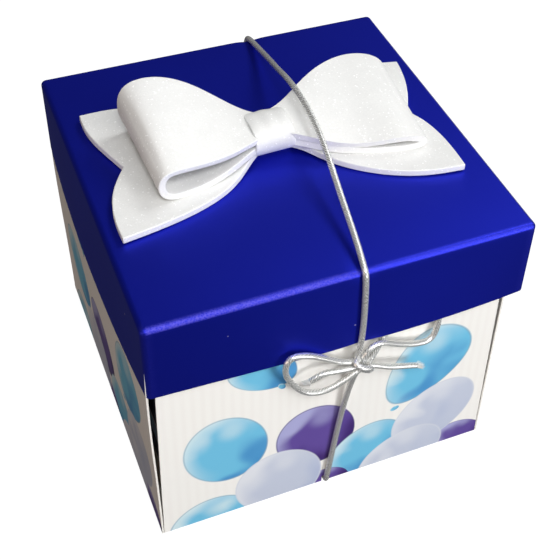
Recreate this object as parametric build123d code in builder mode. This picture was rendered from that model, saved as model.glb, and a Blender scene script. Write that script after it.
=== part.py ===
"""Gift box: creased card box with a second box inside, folded lid, foam bow and elastic cord.

Millimetres. +X right, -Y front, +Z up. The origin is on the table under the middle of the lid.
The walls of both boxes are separate panels, creased to their base, so that they fall open
when the lid comes off. Each panel turns about the outer bottom edge of its crease.
"""
import math
import os

from build123d import *

os.makedirs("parts", exist_ok=True)

# ---- driving dimensions ----
CARD = 0.5            # thickness of the box and lid card
LID_W = 104.0         # lid, across
LID_D = 103.5         # lid, front to back
LID_SKIRT = 24.0      # depth of the lid's skirt, outside
TOP_Z = 83.6          # top of the lid above the table
BOX_W = 98.0          # outer box across
BOX_D = 100.5         # outer box front to back
CLEAR = 0.30          # room between the skirt and the box at the left and front
INNER_STEP = 3.5      # inner box set in from the outer box, all round
INNER_LIFT = 3.2      # inner box raised above the table
INNER_H = 76.0        # height of the inner walls
EDGE_GAP = 0.15       # room between neighbouring walls at the bottom of a corner
TAPER = 1.25          # how much narrower each side of the front and back wall is at the top
FOAM = 1.9            # bow foam
CORD_D = 2.1          # cord
CORD_X = -3.2         # where the cord passes under the box
RISE = 2.35           # underside of the pushed-up strip of the base
CHANNEL = 4.4         # its clear width
BOW_H = 19.5          # bow loops above the lid

# ---- derived ----
LX, LY = LID_W / 2, LID_D / 2
X0 = -LX + CARD + CLEAR            # outer faces of the box
X1 = X0 + BOX_W
Y0 = -LY + CARD + CLEAR
Y1 = Y0 + BOX_D
WALL_H = TOP_Z - CARD              # walls touch the underside of the lid
IX0, IX1 = X0 + INNER_STEP, X1 - INNER_STEP
IY0, IY1 = Y0 + INNER_STEP, Y1 - INNER_STEP
R = CORD_D / 2


def save(part, name):
    part.label = name
    export_step(part, f"parts/{name}.step")


def block(x0, x1, y0, y1, z0, z1, mode=Mode.ADD):
    """A box between two corners, added to the part being built."""
    with Locations(((x0 + x1) / 2, (y0 + y1) / 2, (z0 + z1) / 2)):
        Box(x1 - x0, y1 - y0, z1 - z0, mode=mode)


# ---- outer box: base ----
CH0, CH1 = CORD_X - CHANNEL / 2, CORD_X + CHANNEL / 2
with BuildPart() as base_panel:
    block(X0 + CARD, X1 - CARD, Y0 + CARD, Y1 - CARD, 0, CARD)
    block(CH0, CH1, Y0, Y1, -1, CARD + 1, mode=Mode.SUBTRACT)
    block(CH0 - CARD, CH1 + CARD, Y0 + CARD, Y1 - CARD, RISE, RISE + CARD)
    block(CH0 - CARD, CH0, Y0 + CARD, Y1 - CARD, 0, RISE)
    block(CH1, CH1 + CARD, Y0 + CARD, Y1 - CARD, 0, RISE)
save(base_panel.part, "base_panel")

# ---- outer box: front and back walls, tapered, with a notch for the cord ----
FW0, FW1 = X0 + CARD + EDGE_GAP, X1 - CARD - EDGE_GAP
with BuildPart() as front_wall:
    with BuildSketch(Plane.XZ.offset(-Y0)):
        with BuildLine():
            Polyline((FW0, 0), (FW1, 0), (FW1 - TAPER, WALL_H), (FW0 + TAPER, WALL_H), close=True)
        make_face()
    extrude(amount=-CARD)
    block(CH0, CH1, Y0 - 1, Y0 + 2, -1, RISE + 1.2, mode=Mode.SUBTRACT)
save(front_wall.part, "front_wall")

with BuildPart() as back_wall:
    with BuildSketch(Plane.XZ.offset(-Y1)):
        with BuildLine():
            Polyline((FW0, 0), (FW1, 0), (FW1 - TAPER, WALL_H), (FW0 + TAPER, WALL_H), close=True)
        make_face()
    extrude(amount=CARD)
    block(CH0, CH1, Y1 - 2, Y1 + 1, -1, RISE + 1.2, mode=Mode.SUBTRACT)
save(back_wall.part, "back_wall")

# ---- outer box: side walls ----
with BuildPart() as left_wall:
    block(X0, X0 + CARD, Y0, Y1, 0, WALL_H)
save(left_wall.part, "left_wall")

with BuildPart() as right_wall:
    block(X1 - CARD, X1, Y0, Y1, 0, WALL_H)
save(right_wall.part, "right_wall")

# ---- inner box ----
with BuildPart() as inner_base:
    block(IX0 + CARD, IX1 - CARD, IY0 + CARD, IY1 - CARD, INNER_LIFT, INNER_LIFT + CARD)
save(inner_base.part, "inner_base")

IF0, IF1 = IX0 + CARD + EDGE_GAP, IX1 - CARD - EDGE_GAP
IZ1 = INNER_LIFT + INNER_H
with BuildPart() as inner_front_wall:
    block(IF0, IF1, IY0, IY0 + CARD, INNER_LIFT, IZ1)
save(inner_front_wall.part, "inner_front_wall")

with BuildPart() as inner_back_wall:
    block(IF0, IF1, IY1 - CARD, IY1, INNER_LIFT, IZ1)
save(inner_back_wall.part, "inner_back_wall")

with BuildPart() as inner_left_wall:
    block(IX0, IX0 + CARD, IY0, IY1, INNER_LIFT, IZ1)
save(inner_left_wall.part, "inner_left_wall")

with BuildPart() as inner_right_wall:
    block(IX1 - CARD, IX1, IY0, IY1, INNER_LIFT, IZ1)
save(inner_right_wall.part, "inner_right_wall")

# ---- glue pads between the two bases ----
PAD = 16.0
with BuildPart() as base_glue_pads:
    for px in (IX0 + 18, IX1 - 18):
        for py in (IY0 + 18, IY1 - 18):
            block(px - PAD / 2, px + PAD / 2, py - PAD / 2, py + PAD / 2, CARD, INNER_LIFT)
save(base_glue_pads.part, "base_glue_pads")

# ---- lid ----
SKIRT_Z = TOP_Z - LID_SKIRT
with BuildPart() as lid_shell:
    block(-LX, LX, -LY, LY, SKIRT_Z, TOP_Z)
    fold = lid_shell.edges().filter_by(Axis.Z) + lid_shell.edges().group_by(Axis.Z)[-1]
    fillet(fold, radius=CARD * 0.9)
    block(-LX + CARD, LX - CARD, -LY + CARD, LY - CARD, SKIRT_Z - 1, TOP_Z - CARD, mode=Mode.SUBTRACT)
save(lid_shell.part, "lid_shell")

TAB_T, TAB_L, TAB_H = 0.22, 15.0, 20.0
with BuildPart() as lid_glue_tabs:
    for sx in (-1, 1):
        for sy in (-1, 1):
            xa, xb = sx * (LX - CARD), sx * (LX - CARD - TAB_T)
            ya, yb = sy * (LY - CARD), sy * (LY - CARD - TAB_L)
            block(min(xa, xb), max(xa, xb), min(ya, yb), max(ya, yb), SKIRT_Z + 1.5, SKIRT_Z + 1.5 + TAB_H)
save(lid_glue_tabs.part, "lid_glue_tabs")

# ---- bow ----
GLUE_T = 0.3
BAND_T = 1.2
z_pad = TOP_Z
z_band = z_pad + GLUE_T
z_tail = z_band + BAND_T
BOW_X, BOW_Y = -1.5, 1.0           # middle of the bow on the lid

with BuildPart() as bow_glue_pad:
    block(BOW_X - 6, BOW_X + 6, BOW_Y - 6, BOW_Y + 6, z_pad, z_band)
save(bow_glue_pad.part, "bow_glue_pad")

# the tails: a bent strip, cut to the swallow-tail outline
with BuildPart() as bow_tails:
    with BuildSketch(Plane.XZ.offset(35)):
        with BuildLine():
            low = TOP_Z + 0.1
            Polyline(
                (-52, low), (-24, low), (BOW_X - 9, z_tail), (BOW_X + 9, z_tail), (24, low), (52, low),
                (52, low + FOAM), (24, low + FOAM), (BOW_X + 9, z_tail + FOAM), (BOW_X - 9, z_tail + FOAM),
                (-24, low + FOAM), (-52, low + FOAM), close=True)
        make_face()
    extrude(amount=-70)
    with BuildSketch(Plane.XY.offset(TOP_Z - 2), mode=Mode.PRIVATE) as tail_outline:
        with BuildLine():
            Spline((-46.8, 28.3), (-36.5, 29.3), (-20.0, 18.0), (BOW_X, BOW_Y + 7.0))
            Spline((BOW_X, BOW_Y + 7.0), (18.0, 17.0), (34.0, 26.5), (47.2, 21.8))
            Line((47.2, 21.8), (39.4, -1.0))
            Line((39.4, -1.0), (44.4, -26.6))
            Spline((44.4, -26.6), (30.0, -24.6), (16.0, -17.0), (BOW_X, BOW_Y - 7.0))
            Spline((BOW_X, BOW_Y - 7.0), (-20.0, -15.0), (-34.0, -21.4), (-48.4, -23.4))
            Line((-48.4, -23.4), (-41.2, 3.0))
            Line((-41.2, 3.0), (-46.8, 28.3))
        make_face()
    extrude(tail_outline.sketch, amount=12, mode=Mode.INTERSECT)
save(bow_tails.part, "bow_tails")

# the loops: a closed band seen from the front, cut to the bow-tie outline
z_loop = z_tail + FOAM + 0.05
low = TOP_Z + 0.1 + FOAM + 0.05
top = TOP_Z + BOW_H
mid = z_loop + 2 * FOAM


def loop_side(s, grow):
    """Points of one half of the closed band, from the bottom middle outwards and back to the top middle.

    s is the side (-1 left, 1 right), grow moves every point outwards from the band's hollow.
    """
    x = lambda v: BOW_X + s * v
    return [
        (x(9.0), z_loop + FOAM - grow), (x(20.0), low + FOAM - grow + 1.0), (x(28.0), low + FOAM + 1.0 - grow),
        (x(33.0 + grow), (low + top) / 2 + 1.0), (x(28.0), top - FOAM - 0.4 + grow),
        (x(18.0), top - FOAM - 2.4 + grow), (x(9.0), mid + 1.2 - FOAM + grow),
    ]


with BuildPart() as bow_loops:
    with BuildSketch(Plane.XZ.offset(35)):
        with BuildLine():
            r_out, l_out = loop_side(1, FOAM), loop_side(-1, FOAM)
            Line((BOW_X - 9.0, z_loop), (BOW_X + 9.0, z_loop))
            Spline(*r_out)
            Line(r_out[-1], l_out[-1])
            Spline(*l_out)
        make_face()
        for s in (-1, 1):
            with BuildLine():
                hole = loop_side(s, 0.0)
                Spline(*hole)
                Line(hole[-1], hole[0])
            make_face(mode=Mode.SUBTRACT)
    extrude(amount=-70)
    with BuildSketch(Plane.XY.offset(TOP_Z - 2), mode=Mode.PRIVATE) as loop_outline:
        with BuildLine():
            Spline((BOW_X, BOW_Y + 7.0), (BOW_X + 14, BOW_Y + 14.0), (BOW_X + 30, BOW_Y + 19.5), (BOW_X + 36, BOW_Y + 18.5))
            Line((BOW_X + 36, BOW_Y + 18.5), (BOW_X + 36, BOW_Y - 16.5))
            Spline((BOW_X + 36, BOW_Y - 16.5), (BOW_X + 28, BOW_Y - 17.5), (BOW_X + 14, BOW_Y - 12.5), (BOW_X, BOW_Y - 7.0))
            Spline((BOW_X, BOW_Y - 7.0), (BOW_X - 14, BOW_Y - 12.5), (BOW_X - 28, BOW_Y - 17.5), (BOW_X - 36, BOW_Y - 16.5))
            Line((BOW_X - 36, BOW_Y - 16.5), (BOW_X - 36, BOW_Y + 18.5))
            Spline((BOW_X - 36, BOW_Y + 18.5), (BOW_X - 30, BOW_Y + 19.5), (BOW_X - 14, BOW_Y + 14.0), (BOW_X, BOW_Y + 7.0))
        make_face()
    extrude(loop_outline.sketch, amount=40, mode=Mode.INTERSECT)
save(bow_loops.part, "bow_loops")

# the centre band: a flat ring round loops and tails
BAND_W = 13.0
band_in = 10.6                      # half of its inside depth, clear of the pinched strips
band_top = mid + 1.2 + FOAM + 0.1
with BuildPart() as bow_centre_band:
    block(BOW_X - BAND_W / 2, BOW_X + BAND_W / 2, BOW_Y - band_in - BAND_T, BOW_Y + band_in + BAND_T,
          z_band, band_top + BAND_T)
    rounded = bow_centre_band.edges().filter_by(Axis.X)
    fillet(rounded, radius=1.0)
    block(BOW_X - BAND_W / 2 - 1, BOW_X + BAND_W / 2 + 1, BOW_Y - band_in, BOW_Y + band_in,
          z_tail, band_top, mode=Mode.SUBTRACT)
save(bow_centre_band.part, "bow_centre_band")

# ---- cord ----
front_y = -LY - R - 0.06           # against the lid's front skirt
back_y = LY + R + 0.06
top_z = TOP_Z + R + 0.06
under_z = R + 0.08
over_z = band_top + BAND_T + R + 0.25
KNOT = (4.4, front_y - 1.6, 51.2)


def corner_radii(points, fixed):
    """The largest arc that each corner's two runs leave room for, or the fixed one where an edge sets it."""
    radii = []
    for i in range(1, len(points) - 1):
        a, b, c = (Vector(*p) for p in points[i - 1:i + 2])
        half_turn = math.radians((b - a).get_angle(c - b)) / 2
        room = 0.45 * min((b - a).length, (c - b).length) / math.tan(half_turn)
        radii.append(fixed.get(i, min(room, 60.0)))
    return radii


def tube(name, points, fixed={}):
    """A round tube of straight runs joined by tangent arcs; prints its radii, length and volume."""
    radii = corner_radii(points, fixed)
    with BuildLine() as run:
        FilletPolyline(*points, radius=radii)
    with BuildSketch(run.line ^ 0) as section:
        Circle(R)
    sweep(section.sketch, path=run.line)
    length = sum(e.length for e in run.edges())
    print(name, "radii", [round(r, 1) for r in radii], "length", round(length, 1),
          "volume", round(math.pi * R * R * length, 1))


EDGE_R = CORD_D                    # the cord turns this tightly where it is pulled over a fold
with BuildPart() as cord_around_box:
    tube("cord_around_box", [
        (KNOT[0] - 0.2, KNOT[1] + 0.4, KNOT[2] + 1.5),
        (3.9, front_y, SKIRT_Z + 4.0),
        (3.6, front_y, top_z),
        (6.4, BOW_Y - band_in - 5.0, over_z - 0.8),
        (7.6, BOW_Y, over_z + 1.2),
        (8.9, BOW_Y + band_in + 5.0, over_z - 0.8),
        (11.3, back_y, top_z),
        (6.6, back_y, SKIRT_Z),
        (CORD_X, Y1 + R + 0.1, under_z),
        (CORD_X, Y0 - R - 0.1, under_z),
        (KNOT[0] - 2.0, KNOT[1] + 0.8, KNOT[2] - 1.5),
    ], fixed={2: EDGE_R, 6: EDGE_R, 8: EDGE_R, 9: EDGE_R})
save(cord_around_box.part, "cord_around_box")

with BuildPart() as cord_knot:
    with Locations(KNOT):
        Sphere(2.7)
save(cord_knot.part, "cord_knot")

lay_y = front_y - 0.4
with BuildPart() as cord_left_loop:
    tube("cord_left_loop", [
        (KNOT[0] - 1.0, KNOT[1] - 0.6, KNOT[2] + 0.6), (-4.0, lay_y - 0.8, 57.4), (-12.5, lay_y - 0.2, 59.2),
        (-17.6, lay_y, 56.4), (-15.2, lay_y, 50.6), (-7.8, lay_y - 0.4, 46.4), (KNOT[0] - 1.0, KNOT[1] - 0.6, KNOT[2] - 0.9),
    ])
save(cord_left_loop.part, "cord_left_loop")

with BuildPart() as cord_right_loop:
    tube("cord_right_loop", [
        (KNOT[0] + 1.0, KNOT[1] - 0.6, KNOT[2] + 0.9), (10.5, lay_y - 0.6, 57.4), (18.0, lay_y - 0.4, 58.3),
        (23.8, lay_y, 58.5), (27.2, lay_y, 57.0), (27.2, lay_y, 53.6), (23.8, lay_y, 52.2), (14.5, lay_y - 0.6, 52.8),
        (KNOT[0] + 1.0, KNOT[1] - 0.6, KNOT[2] - 0.2),
    ])
save(cord_right_loop.part, "cord_right_loop")

with BuildPart() as cord_left_end:
    tube("cord_left_end", [(KNOT[0] - 1.4, KNOT[1] - 1.4, KNOT[2]), (-2.0, KNOT[1] - 1.9, 51.6), (-8.6, KNOT[1] - 1.2, 51.0)])
save(cord_left_end.part, "cord_left_end")

with BuildPart() as cord_right_end:
    tube("cord_right_end", [(KNOT[0] + 1.2, KNOT[1] + 0.1, KNOT[2] - 1.9), (11.0, KNOT[1] - 0.2, 46.8), (19.6, KNOT[1] - 0.2, 44.8)])
save(cord_right_end.part, "cord_right_end")
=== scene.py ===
# %% [markdown]
# # A card gift box with a foam bow and an elastic cord
#
# The box is four printed card walls creased to a base, with a smaller box inside it, a folded
# blue lid, a white glitter foam bow and one silver cord tied in front. The sizes and the moving
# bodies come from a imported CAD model, which this script loads and never changes. Each piece that
# shows is a surface worked out with numpy in millimetres and written into a mesh in metres.

# %% Load the fixed frame
import math
import bpy
import numpy as np
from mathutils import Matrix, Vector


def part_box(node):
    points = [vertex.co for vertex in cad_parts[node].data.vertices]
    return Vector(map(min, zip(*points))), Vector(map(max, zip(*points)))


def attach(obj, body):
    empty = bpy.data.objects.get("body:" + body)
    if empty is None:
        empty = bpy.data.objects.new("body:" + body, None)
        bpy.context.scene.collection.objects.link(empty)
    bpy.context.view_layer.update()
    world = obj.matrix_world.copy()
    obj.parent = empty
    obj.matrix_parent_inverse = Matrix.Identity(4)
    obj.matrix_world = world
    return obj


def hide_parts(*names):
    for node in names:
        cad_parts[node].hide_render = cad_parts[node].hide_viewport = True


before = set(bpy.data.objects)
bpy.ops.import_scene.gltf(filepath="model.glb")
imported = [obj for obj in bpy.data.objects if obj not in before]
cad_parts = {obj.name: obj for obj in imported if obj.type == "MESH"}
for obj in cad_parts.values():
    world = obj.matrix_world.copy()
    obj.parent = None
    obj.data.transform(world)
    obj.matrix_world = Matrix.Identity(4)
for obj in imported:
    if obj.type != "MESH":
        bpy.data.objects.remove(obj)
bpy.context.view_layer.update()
MM = 0.001
lid_low, lid_high = (np.array(corner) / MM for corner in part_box("lid_shell"))
print("lid, mm:", (lid_high - lid_low).round(1))

# %% [markdown]
# ## The camera
#
# The camera is made first, because it decides which details have to be right. It looks down on the
# front left corner from about a third of a metre. A lens near 72 mm gives the mild perspective of a
# close picture, and a small shift keeps the upright edges leaning the way they do to the eye.

# %% Camera
view = bpy.data.cameras.new("view")
view.lens = 72.55
view.sensor_width = 36.0
view.shift_x, view.shift_y = -0.0786, -0.1340
view.clip_start = 0.01
camera = bpy.data.objects.new("camera", view)
camera.location = (-0.0868, -0.2204, 0.2763)
camera.rotation_euler = [math.radians(angle) for angle in (47.99, -2.17, -22.63)]
bpy.context.scene.collection.objects.link(camera)
bpy.context.scene.camera = camera
print("camera", round(camera.location.length, 3), "m from the origin")

# %% [markdown]
# ## Helpers for colour and nodes
#
# A hex colour is how a screen shows it (sRGB), while a renderer adds up light, which is linear. One
# function turns the first into the second. Another adds one node with its settings and links, and
# a few more build on it, so that each material below reads as a short list of what is laid over what.

# %% Colour and node helpers
def linear(hex_colour):
    """Linear RGBA of an sRGB hex colour: c / 12.92 in the dark, else ((c + 0.055) / 1.055) ** 2.4."""
    shown = [int(hex_colour[i:i + 2], 16) / 255 for i in (1, 3, 5)]
    light = [c / 12.92 if c <= 0.04045 else ((c + 0.055) / 1.055) ** 2.4 for c in shown]
    return (*light, 1.0)


def add(tree, kind, inputs=(), **settings):
    """Adds one shader node, fills or links its inputs, and returns its outputs."""
    node = tree.nodes.new("ShaderNode" + kind)
    for name, value in settings.items():
        setattr(node, name, value)
    for key, value in dict(inputs).items():
        socket = node.inputs[key]
        if isinstance(value, bpy.types.NodeSocket):
            tree.links.new(value, socket)
        else:
            socket.default_value = value
    return node.outputs


def mix(tree, share, under, over):
    """The colour (1 - share) * under + share * over."""
    return add(tree, "Mix", {0: share, 6: under, 7: over}, data_type="RGBA")[2]


def noise(tree, place, grain, detail):
    """Fractal noise at a place, with lumps about one grain across."""
    return add(tree, "TexNoise", {"Vector": place, "Scale": 1 / grain, "Detail": detail})[0]


def remap(tree, value, low, high, at_low=0.0, at_high=1.0):
    """Runs in a straight line from at_low where the value is low to at_high where it is high."""
    return add(tree, "MapRange", {0: value, 1: low, 2: high, 3: at_low, 4: at_high})[0]


def times(tree, value, factor, plus=0.0):
    """value * factor + plus."""
    return add(tree, "Math", {0: value, 1: factor, 2: plus}, operation="MULTIPLY_ADD")[0]


def add_relief(tree, shader, strength, depth, height):
    """Feeds the shader's normal with a bump that is depth metres deep at height 1."""
    bump = add(tree, "Bump", {"Strength": strength, "Distance": depth, "Height": height})[0]
    tree.links.new(bump, shader.inputs["Normal"])


def new_material(name):
    """A material with its node tree and its Principled shader node, ready to be linked."""
    material = bpy.data.materials.new(name)
    material.use_nodes = True
    return material, material.node_tree, material.node_tree.nodes["Principled BSDF"]


print("mid grey is", round(linear("#808080")[0], 3), "in linear light")

# %% [markdown]
# ## The cord's route
#
# One elastic cord goes round the box once and is tied in a bow on the front wall. It runs from the
# frayed left end into the knot, out and back as the left loop, once round the knot, up over the lid
# and its bow, down the back, under the base in its channel, up the front, out and back as the right
# loop, which is tucked behind the lid's skirt, and out to the right end. A cord keeps its length, so
# it is one smooth NURBS spline whose points follow the frame's own cord. Over each edge of the box
# two points stand a little outside the corner, and one more a few diameters away keeps the run
# straight. The turns under the base are tighter than a real cord this thick can make.

# %% Cord route, millimetres
CORD_D = 1.65
LEFT_END = [(-10.6, -54.7, 52.2), (-7.6, -54.9, 54.2), (-3.0, -55.1, 53.4), (1.4, -55.1, 52.9)]
LEFT_LOOP = [
    (4.6, -54.2, 52.4), (4.4, -53.9, 54.0), (1.6, -54.3, 54.2), (-2.0, -54.4, 55.6), (-7.0, -54.4, 59.2),
    (-11.6, -54.4, 62.4), (-16.6, -54.5, 63.6), (-17.9, -54.6, 58.2), (-15.2, -54.7, 52.4),
    (-11.6, -54.8, 47.8), (-6.0, -54.9, 46.4), (-1.0, -55.0, 48.9), (3.0, -54.9, 51.2)]
KNOT_TURN = [
    (5.2, -53.9, 51.6), (5.0, -53.4, 53.8), (2.8, -53.8, 55.2), (1.2, -55.6, 54.9), (2.6, -56.9, 53.9),
    (5.6, -56.7, 52.8), (5.8, -55.2, 49.9), (3.8, -53.7, 49.8), (2.2, -53.5, 52.2)]
OVER_THE_BOX = [
    (2.5, -54.0, 55.4), (3.2, -53.95, 60.0), (3.7, -53.5, 66.0), (3.8, -53.05, 74.0), (3.7, -52.5, 83.1),
    (3.85, -50.6, 84.35), (5.0, -43.0, 86.2), (6.9, -28.0, 89.0), (8.4, -16.0, 92.0), (9.3, -6.0, 93.9),
    (9.4, 3.0, 95.2), (8.8, 11.0, 95.9), (9.0, 20.0, 93.6), (10.6, 34.0, 88.8), (11.35, 46.0, 85.3),
    (11.3, 50.7, 84.3), (11.3, 52.5, 82.9), (10.2, 53.3, 72.0), (6.6, 52.6, 59.6), (-2.0, 50.7, 8.0),
    (-2.7, 50.5, 1.9), (-2.7, 49.6, 1.13), (-2.7, 37.0, 1.13), (-2.7, -37.0, 1.13), (-2.7, -51.0, 1.0),
    (-2.7, -51.8, 1.8), (-2.2, -51.9, 8.0), (0.0, -52.1, 30.0), (1.5, -53.0, 43.0), (2.4, -53.9, 49.0)]
RIGHT_LOOP = [
    (3.6, -54.8, 52.4), (4.4, -54.6, 56.8), (8.4, -53.9, 58.8), (14.0, -53.5, 55.2), (19.6, -53.3, 52.6),
    (24.8, -52.8, 51.7), (26.6, -52.1, 56.4), (26.7, -51.5, 60.8), (25.4, -51.2, 66.0),
    (20.5, -51.15, 68.0), (15.2, -51.3, 66.0), (12.4, -51.5, 61.4), (10.4, -52.3, 57.8), (7.6, -53.4, 54.0)]
RIGHT_END = [
    (5.2, -54.4, 51.4), (8.6, -54.6, 50.2), (12.2, -54.8, 48.2), (16.2, -54.8, 47.0), (20.0, -54.8, 45.6)]
cord_points = np.array(LEFT_END + LEFT_LOOP + KNOT_TURN + OVER_THE_BOX + RIGHT_LOOP + RIGHT_END)


def spline_line(points):
    """The centreline of a NURBS spline with these control points, as Blender works it out."""
    curve = bpy.data.curves.new("route", "CURVE")
    curve.dimensions = "3D"
    curve.resolution_u = 14
    spline = curve.splines.new("NURBS")
    spline.points.add(len(points) - 1)
    spline.points.foreach_set("co", np.column_stack([points * MM, np.ones(len(points))]).ravel())
    spline.order_u = 3
    spline.use_endpoint_u = True
    holder = bpy.data.objects.new("route", curve)
    line = bpy.data.meshes.new_from_object(holder)
    places = np.zeros(len(line.vertices) * 3)
    line.vertices.foreach_get("co", places)
    bpy.data.objects.remove(holder)
    bpy.data.meshes.remove(line)
    return places.reshape(-1, 3) / MM


cord_line = spline_line(cord_points)
cord_steps = np.linalg.norm(np.diff(cord_line, axis=0), axis=1)
print("cord", round(cord_steps.sum(), 1), "mm long,", len(cord_line), "places on its line")

# %% [markdown]
# ## Meshes from arrays
#
# Every new surface ends in the same few lines: points, faces, which finish each face has, and UVs.
# A flat drawing (UV) is kept in millimetres, so a pattern's scale can be a real size. Sharp corners
# are marked by angle and everything else is shaded smooth.

# %% Mesh helper
def make_piece(name, points, faces, materials, finish=None, flat=None, sharp=40.0):
    """A mesh object from points in mm, quads or triangles, a finish number per face and mm UVs."""
    mesh = bpy.data.meshes.new(name)
    mesh.from_pydata((np.asarray(points) * MM).tolist(), [], faces.tolist())
    for material in materials:
        mesh.materials.append(material)
    if finish is not None:
        mesh.polygons.foreach_set("material_index", np.asarray(finish, dtype=np.int32))
    if flat is not None:
        corners = np.zeros(len(mesh.loops), dtype=np.int32)
        mesh.loops.foreach_get("vertex_index", corners)
        layer = mesh.uv_layers.new(name="flat_mm")
        layer.data.foreach_set("uv", np.asarray(flat, dtype=np.float32)[corners].ravel())
    mesh.polygons.foreach_set("use_smooth", np.ones(len(mesh.polygons), dtype=bool))
    mesh.set_sharp_from_angle(angle=math.radians(sharp))
    mesh.update()
    piece = bpy.data.objects.new(name, mesh)
    bpy.context.scene.collection.objects.link(piece)
    return piece


def grid_quads(rows, columns, closed=False):
    """Quads of a grid of points, facing along (down the rows) x (along the columns)."""
    k = np.arange(rows * columns).reshape(rows, columns)
    if closed:
        k = np.column_stack([k, k[:, :1]])
    return np.stack([k[:-1, :-1], k[1:, :-1], k[1:, 1:], k[:-1, 1:]], axis=-1).reshape(-1, 4)


print("a 3 x 3 grid has", len(grid_quads(3, 3)), "quads")

# %% [markdown]
# ## Silver cord
#
# The cord is an elastic core under a braid of metallised film yarn, which the eye reads as a bright
# ribbed wire: nearly white where it faces the light and almost black along its sides. It could be a
# curve with a round bevel, but a tube carried along the line lets the braid be real relief, two sets
# of crossing yarns. The tube's rings are carried along without twist.

# %% Cord finish: metallised film yarn, braided
silver_yarn, tree, shader = new_material("metallised_silver_braid")
flat = add(tree, "UVMap", uv_map="flat_mm")[0]
YARN_PITCH = 1.5   # mm along the cord for one crossing; real yarns are finer than the render shows
crossing = add(tree, "Mapping", {"Vector": flat, "Scale": (1 / 1.1, 1 / YARN_PITCH, 1.0)})[0]
yarns = add(tree, "TexWave", {"Vector": crossing, "Scale": 1.0, "Distortion": 1.2, "Detail": 1.0},
            bands_direction="DIAGONAL")
grain = noise(tree, flat, 0.35, 2.0)
tone = times(tree, yarns[1], grain)
colour = add(tree, "ValToRGB", {0: tone})
ramp = tree.nodes[-1].color_ramp
ramp.elements[0].color, ramp.elements[1].color = linear("#b4b5b3"), linear("#fafaf7")
ramp.elements[1].position = 0.5
tree.links.new(colour[0], shader.inputs["Base Color"])
rough = remap(tree, grain, 0.0, 1.0, 0.18, 0.38)
tree.links.new(rough, shader.inputs["Roughness"])
add_relief(tree, shader, 0.35, 0.12 * MM, yarns[1])
shader.inputs["Metallic"].default_value = 0.6
print("made", silver_yarn.name)


# %% Cord tube
BRAID_PITCH = 2.2   # mm along the cord for one braid crossing in the relief
BRAID_RELIEF = 0.07
RING_STEP = 0.36    # mm between the tube's rings


def carry_frames(line):
    """Two side directions at each place, carried along the line without twist."""
    tangent = np.gradient(line, axis=0)
    tangent /= np.linalg.norm(tangent, axis=1)[:, None]
    side = np.zeros_like(line)
    last = np.array([0.0, 0.0, 1.0])
    for i, way in enumerate(tangent):
        last = last - way * (last @ way)
        last /= np.linalg.norm(last)
        side[i] = last
    return side, np.cross(tangent, side)


def even_steps(line, step):
    """The same line with places one step apart along its length."""
    run = np.concatenate([[0.0], np.cumsum(np.linalg.norm(np.diff(line, axis=0), axis=1))])
    wanted = np.linspace(0.0, run[-1], int(run[-1] / step) + 1)
    return np.column_stack([np.interp(wanted, run, line[:, axis]) for axis in range(3)]), wanted


def braided_tube(name, line, diameter, material, around=20):
    """A tube whose radius swells where either of two crossing sets of yarns lies on top.

    radius = r * (1 - relief + relief * max(|cos(a - b)|, |cos(a + b)|)), with a the angle round the cord
    times half the number of yarns and b the distance along it in braid pitches.
    """
    centre, run = even_steps(line, RING_STEP)
    side, other = carry_frames(centre)
    angle = np.linspace(0.0, 2 * math.pi, around, endpoint=False)
    turn, along = 3 * angle[None, :], (math.pi * run / BRAID_PITCH)[:, None]
    relief = np.maximum(np.abs(np.cos(turn - along)), np.abs(np.cos(turn + along)))
    radius = diameter / 2 * (1 - BRAID_RELIEF + BRAID_RELIEF * relief)
    ring = np.cos(angle)[None, :, None] * side[:, None] + np.sin(angle)[None, :, None] * other[:, None]
    points = (centre[:, None] + ring * radius[:, :, None]).reshape(-1, 3)
    faces = grid_quads(len(centre), around, closed=True)[:, ::-1]
    ends = np.array([centre[0], centre[-1]])
    first, last = len(points), len(points) + 1
    ids = np.arange(around)
    after = np.roll(ids, -1)
    base = len(points) - around
    cap_a = np.column_stack([np.full(around, first), after, ids])
    cap_b = np.column_stack([np.full(around, last), base + ids, base + after])
    faces = faces.tolist() + cap_a.tolist() + cap_b.tolist()
    uv = np.column_stack([np.tile(angle * diameter / 2, len(centre)), np.repeat(run, around)])
    uv = np.concatenate([uv, [[0.0, 0.0], [0.0, run[-1]]]])
    points = np.concatenate([points, ends])
    return make_piece(name, points, np.array(faces, dtype=object), [material], flat=uv)


cord = braided_tube("cord", cord_line, CORD_D, silver_yarn)
print("cord tube:", len(cord.data.polygons), "faces")

# %% [markdown]
# The two ends are cut, so the braid opens into a little brush of its white core threads. Each thread
# is a thin three-sided tube that leans outwards more the further it stands from the middle.

# %% Core yarn finish: textured polyester, dull white
core_yarn, tree, shader = new_material("textured_polyester_core_yarn")
place = add(tree, "TexCoord")[3]
fluff = noise(tree, place, 0.4 * MM, 2.0)
shade = mix(tree, fluff, linear("#cfcfcb"), linear("#f6f5f1"))
tree.links.new(shade, shader.inputs["Base Color"])
shader.inputs["Roughness"].default_value = 0.6
print("made", core_yarn.name)


# %% Frayed ends
GOLDEN_TURN = math.radians(137.5)
THREAD_RADIUS = [0.11, 0.11, 0.09, 0.05]   # mm at the four places along a thread


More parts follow.
